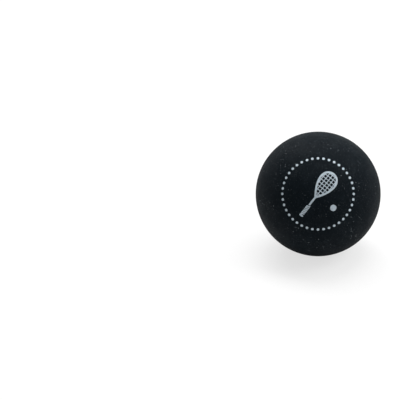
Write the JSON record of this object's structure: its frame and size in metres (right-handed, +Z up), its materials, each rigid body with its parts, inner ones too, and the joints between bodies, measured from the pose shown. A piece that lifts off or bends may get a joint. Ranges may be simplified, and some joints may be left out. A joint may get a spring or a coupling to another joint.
{
  "type": "squash ball",
  "caption": "Hollow black rubber squash ball: half shells bonded at a seam round a sealed air chamber, matt buffed surface, yellow printed speed dots on the rear pole.",
  "frame": {"origin": "centre of the ball", "axes": "+Z up, Y along the mould axis from the front half (-Y) to the rear half (+Y), the seam in the XZ plane"},
  "size_m": [0.04, 0.04, 0.04],
  "materials": {
    "rubber": "matt, buffed",
    "bond": "cured rubber solution, satin",
    "dot_ink": "flexible printed ink, matt yellow",
    "mark_ink": "flexible printed ink, pale grey"
  },
  "bodies": {
    "root": {"front_half_shell": "rubber", "rear_half_shell": "rubber", "seam_bond": "bond", "speed_dot_left": "dot_ink", "speed_dot_right": "dot_ink"}
  },
  "joints": []
}
